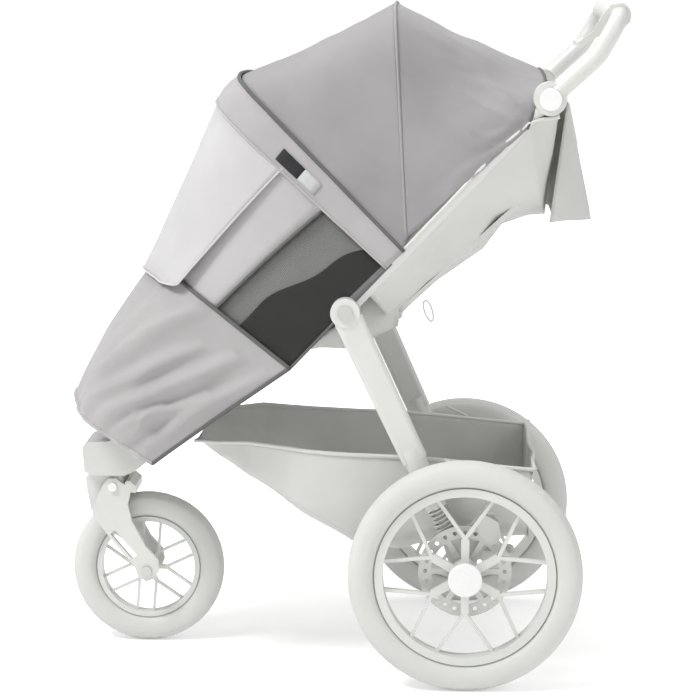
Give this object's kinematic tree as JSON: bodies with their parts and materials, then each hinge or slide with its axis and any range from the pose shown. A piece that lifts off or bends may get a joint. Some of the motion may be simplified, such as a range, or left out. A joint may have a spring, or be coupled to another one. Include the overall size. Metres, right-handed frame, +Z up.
{
  "type": "jogging stroller",
  "caption": "Three-wheel folding jogging stroller with reclined seat, fan canopy and a zip-on weather cover with mesh side windows.",
  "frame": {"origin": "on the ground under the middle of the overall length and width", "axes": "+X forward towards the front wheel, +Y the stroller's left, +Z up"},
  "size_m": [0.987, 0.658, 1.164],
  "materials": {
    "tyre": "matte",
    "wheel": "satin",
    "frame": "satin",
    "plastic": "matte",
    "button": "gloss",
    "grip": "matte",
    "steel": "satin",
    "rubber": "matte",
    "canopy_fabric": "woven",
    "cover_fabric": "woven",
    "shell_fabric": "woven",
    "dark_fabric": "woven",
    "webbing": "woven"
  },
  "bodies": {
    "chassis": {"front_tube_left": "frame", "front_tube_right": "frame", "hinge_pins": "steel", "front_crown": "plastic", "footrest": "plastic", "seat_pan": "shell_fabric", "seat_cross_tube": "frame", "seat_cushion": "dark_fabric", "calf_panel": "shell_fabric", "crotch_strap": "webbing", "harness_buckle": "plastic", "basket": "shell_fabric", "weather_cover": "cover_fabric", "sun_flap": "cover_fabric"},
    "upper_frame": {"upper_tube_left": "frame", "upper_tube_right": "frame", "handle_housing_left": "plastic", "handle_housing_right": "plastic", "upper_cross_tube": "frame", "seat_tub": "shell_fabric", "rear_flap": "shell_fabric", "recline_pull_loop": "webbing", "canopy_rear_panel": "canopy_fabric"},
    "mid_bow": {"canopy_mid_bow": "frame", "canopy_front_panel": "canopy_fabric"},
    "front_bow": {"canopy_front_bow": "frame"},
    "seat_back": {"backrest_board": "plastic", "back_cushion": "dark_fabric", "shoulder_straps": "webbing"},
    "handle": {"handlebar": "frame", "handle_grip": "grip", "brake_lever_clamp": "plastic"},
    "hand_brake": {"brake_lever": "plastic"},
    "button_left": {"handle_button_left": "button"},
    "button_right": {"handle_button_right": "button"},
    "rear_legs": {"rear_leg_left": "frame", "rear_leg_right": "frame"},
    "rear_axle": {"rear_strut_left": "frame", "rear_strut_right": "frame", "suspension_springs": "steel", "brake_calipers": "steel", "rear_axle_tube": "frame", "brake_cables": "rubber"},
    "brake_pedal": {"parking_brake_pedal": "plastic"},
    "rear_wheel_left": {"rear_tyre_left": "tyre", "rear_rim_left": "wheel", "brake_rotor_left": "steel", "hub_cap_left": "button"},
    "rear_wheel_right": {"rear_tyre_right": "tyre", "rear_rim_right": "wheel", "brake_rotor_right": "steel", "hub_cap_right": "button"},
    "swivel": {"swivel_head": "plastic"},
    "swivel_lock": {"swivel_lock_knob": "plastic"},
    "fork": {"front_fork": "frame", "front_axle": "steel", "fork_bolt": "steel"},
    "front_wheel": {"front_tyre": "tyre", "front_rim": "wheel"}
  },
  "joints": [
    {"name": "frame_fold", "type": "hinge", "parent": "chassis", "child": "upper_frame", "pos_m": [-0.015, 0, 0.647], "axis": [0, 1, 0], "range_deg": [0, 140], "deforming": ["basket", "weather_cover", "sun_flap", "canopy_rear_panel", "canopy_front_panel", "calf_panel", "seat_cushion", "crotch_strap"]},
    {"name": "leg_fold", "type": "hinge", "parent": "chassis", "child": "rear_legs", "pos_m": [-0.015, 0, 0.647], "axis": [0, 1, 0], "range_deg": [-45, 0]},
    {"name": "canopy_mid_fold", "type": "hinge", "parent": "upper_frame", "child": "mid_bow", "pos_m": [-0.117, 0, 0.77], "axis": [0, 1, 0], "range_deg": [-40, 0]},
    {"name": "canopy_front_fold", "type": "hinge", "parent": "mid_bow", "child": "front_bow", "pos_m": [-0.117, 0, 0.77], "axis": [0, 1, 0], "range_deg": [-35, 0]},
    {"name": "backrest_recline", "type": "hinge", "parent": "upper_frame", "child": "seat_back", "pos_m": [-0.104, 0, 0.632], "axis": [0, 1, 0], "range_deg": [0, 25]},
    {"name": "handle_tilt", "type": "hinge", "parent": "upper_frame", "child": "handle", "pos_m": [-0.356, 0, 1.006], "axis": [0, 1, 0], "range_deg": [-35, 20]},
    {"name": "hand_brake_pull", "type": "hinge", "parent": "handle", "child": "hand_brake", "pos_m": [-0.439, 0, 1.118], "axis": [0, 1, 0], "range_deg": [-14, 0], "stiffness_Nm_per_rad": 0.5, "springref_deg": 17.19},
    {"name": "handle_button_left_press", "type": "slide", "parent": "handle", "child": "button_left", "axis": [0, -1, 0], "range_m": [0, 0.004], "stiffness_N_per_m": 400, "springref_m": -0.002},
    {"name": "handle_button_right_press", "type": "slide", "parent": "handle", "child": "button_right", "axis": [0, 1, 0], "range_m": [0, 0.004], "stiffness_N_per_m": 400, "springref_m": -0.002},
    {"name": "rear_suspension", "type": "slide", "parent": "rear_legs", "child": "rear_axle", "axis": [0.4169, 0, 0.909], "range_m": [0, 0.012], "stiffness_N_per_m": 20000, "springref_m": -0.015, "deforming": ["suspension_springs", "brake_cables"]},
    {"name": "parking_brake_press", "type": "hinge", "parent": "rear_axle", "child": "brake_pedal", "pos_m": [-0.22, 0, 0.2], "axis": [0, 1, 0], "range_deg": [-15, 0]},
    {"name": "rear_wheel_left_spin", "type": "hinge", "parent": "rear_axle", "child": "rear_wheel_left", "pos_m": [-0.22, 0.294, 0.2], "axis": [0, 1, 0], "continuous": true},
    {"name": "rear_wheel_right_spin", "type": "hinge", "parent": "rear_axle", "child": "rear_wheel_right", "pos_m": [-0.22, -0.294, 0.2], "axis": [0, 1, 0], "continuous": true},
    {"name": "front_swivel", "type": "hinge", "parent": "chassis", "child": "swivel", "pos_m": [0.43, 0, 0.352], "axis": [0, 0, 1], "continuous": true},
    {"name": "swivel_lock_pull", "type": "slide", "parent": "chassis", "child": "swivel_lock", "axis": [0, 0, 1], "range_m": [0, 0.006]},
    {"name": "front_suspension", "type": "hinge", "parent": "swivel", "child": "fork", "pos_m": [0.416, 0, 0.294], "axis": [0, 1, 0], "range_deg": [0, 6], "stiffness_Nm_per_rad": 60, "springref_deg": -14.32},
    {"name": "front_wheel_spin", "type": "hinge", "parent": "fork", "child": "front_wheel", "pos_m": [0.357, 0, 0.138], "axis": [0, 1, 0], "continuous": true}
  ],
  "couplings": [
    {"joint": "leg_fold", "follows": "frame_fold", "ratio": -0.32143},
    {"joint": "canopy_mid_fold", "follows": "frame_fold", "ratio": -0.28571},
    {"joint": "canopy_front_fold", "follows": "frame_fold", "ratio": -0.25}
  ]
}
